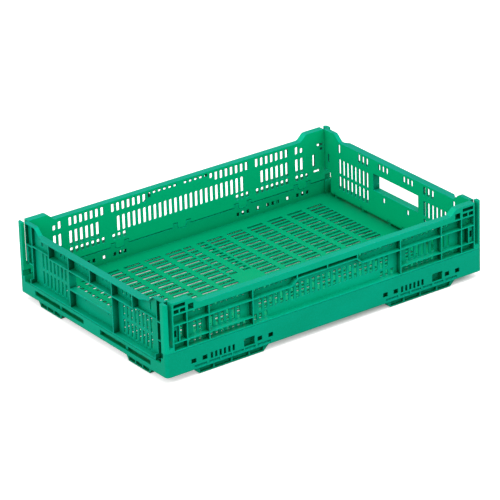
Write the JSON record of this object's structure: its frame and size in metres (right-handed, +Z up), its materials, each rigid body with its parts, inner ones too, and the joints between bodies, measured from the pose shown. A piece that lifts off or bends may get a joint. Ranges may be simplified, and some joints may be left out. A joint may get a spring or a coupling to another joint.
{
  "type": "collapsible storage crate",
  "caption": "Low stacking crate with a slotted floor and four ribbed, slotted walls that fold flat inwards onto the base; hand holes in the end walls.",
  "frame": {"origin": "centre of the footprint, on the plane the feet stand on", "axes": "+X along the long side, +Y along the short side, +Z up"},
  "size_m": [0.6, 0.4, 0.13],
  "materials": {
    "crate_plastic": "semi-gloss moulded polypropylene",
    "latch_plastic": "semi-gloss moulded polypropylene",
    "pin_rod": "satin drawn fibre-reinforced rod"
  },
  "bodies": {
    "base": {"base_tray": "crate_plastic", "hinge_rods_left": "pin_rod", "hinge_rods_right": "pin_rod", "hinge_pins_front": "pin_rod", "hinge_pins_rear": "pin_rod"},
    "long_front": {"long_wall_front": "crate_plastic"},
    "long_rear": {"long_wall_rear": "crate_plastic"},
    "end_left": {"end_wall_left": "crate_plastic", "latch_pins_left": "pin_rod"},
    "end_right": {"end_wall_right": "crate_plastic", "latch_pins_right": "pin_rod"},
    "latch_front_left": {"latch_front_left": "latch_plastic"},
    "latch_front_right": {"latch_front_right": "latch_plastic"},
    "latch_rear_left": {"latch_rear_left": "latch_plastic"},
    "latch_rear_right": {"latch_rear_right": "latch_plastic"}
  },
  "joints": [
    {"name": "long_front_fold", "type": "hinge", "parent": "base", "child": "long_front", "pos_m": [0, -0.1905, 0.0435], "axis": [-1, 0, 0], "range_deg": [0, 90]},
    {"name": "long_rear_fold", "type": "hinge", "parent": "base", "child": "long_rear", "pos_m": [0, 0.1905, 0.0435], "axis": [1, 0, 0], "range_deg": [0, 90]},
    {"name": "end_left_fold", "type": "hinge", "parent": "base", "child": "end_left", "pos_m": [-0.291, 0, 0.023], "axis": [0, 1, 0], "range_deg": [0, 90]},
    {"name": "end_right_fold", "type": "hinge", "parent": "base", "child": "end_right", "pos_m": [0.291, 0, 0.023], "axis": [0, -1, 0], "range_deg": [0, 90]},
    {"name": "latch_front_left_lock", "type": "hinge", "parent": "end_left", "child": "latch_front_left", "pos_m": [-0.292, -0.1844, 0.066], "axis": [-1, 0, 0], "range_deg": [-8, 0]},
    {"name": "latch_front_right_lock", "type": "hinge", "parent": "end_right", "child": "latch_front_right", "pos_m": [0.292, -0.1844, 0.066], "axis": [-1, 0, 0], "range_deg": [-8, 0]},
    {"name": "latch_rear_left_lock", "type": "hinge", "parent": "end_left", "child": "latch_rear_left", "pos_m": [-0.292, 0.1844, 0.066], "axis": [1, 0, 0], "range_deg": [-8, 0]},
    {"name": "latch_rear_right_lock", "type": "hinge", "parent": "end_right", "child": "latch_rear_right", "pos_m": [0.292, 0.1844, 0.066], "axis": [1, 0, 0], "range_deg": [-8, 0]}
  ]
}
